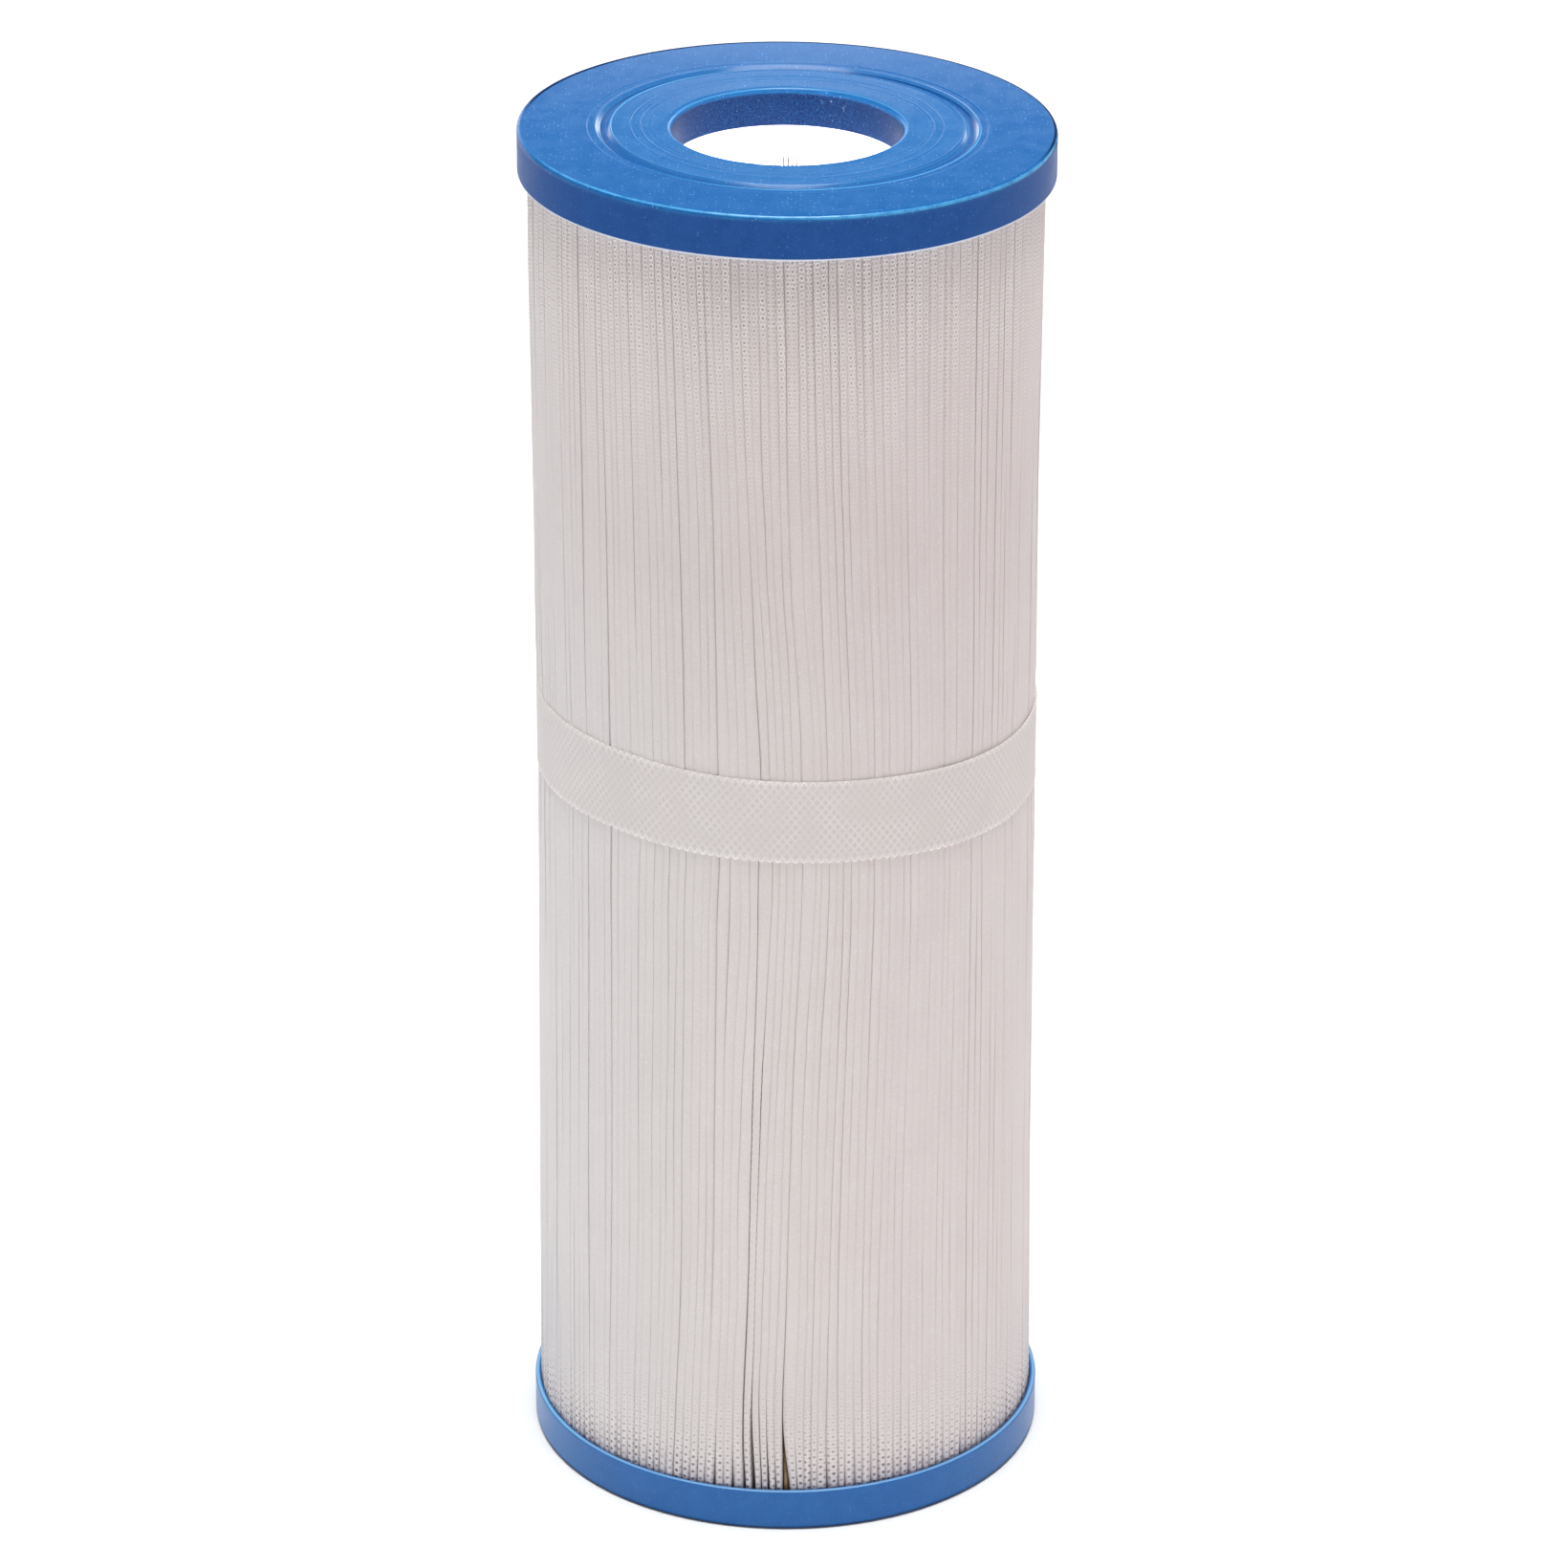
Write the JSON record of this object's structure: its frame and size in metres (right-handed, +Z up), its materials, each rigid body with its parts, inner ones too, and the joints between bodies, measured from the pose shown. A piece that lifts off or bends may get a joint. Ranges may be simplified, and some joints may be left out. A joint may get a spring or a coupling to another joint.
{
  "type": "filter cartridge",
  "caption": "Cylindrical pleated fabric filter cartridge with blue cast end caps, a round hole through both ends, a perforated centre core and a retaining band round the pleats.",
  "frame": {"origin": "centre of the bottom cap's outer face, on the cartridge's axis", "axes": "+Z up along the cartridge's axis, from the bottom cap to the top cap; -Y towards the media's side seam"},
  "size_m": [0.1254, 0.1254, 0.3381],
  "materials": {
    "cap_blue": "satin cast polyurethane with fine turned rings and tiny pale specks",
    "core_white": "moulded white plastic",
    "media_white": "spunbonded polyester with point-bond dots, pleated",
    "adhesive_tan": "hot-melt adhesive, amber tan",
    "band_white": "non-woven strip with an embossed diamond pattern and bright pinked edges"
  },
  "bodies": {
    "root": {"top_end_cap": "cap_blue", "bottom_end_cap": "cap_blue", "core_section_lower": "core_white", "core_section_middle": "core_white", "core_section_upper": "core_white", "pleated_media": "media_white", "seam_adhesive": "adhesive_tan", "retaining_band": "band_white"}
  },
  "joints": []
}
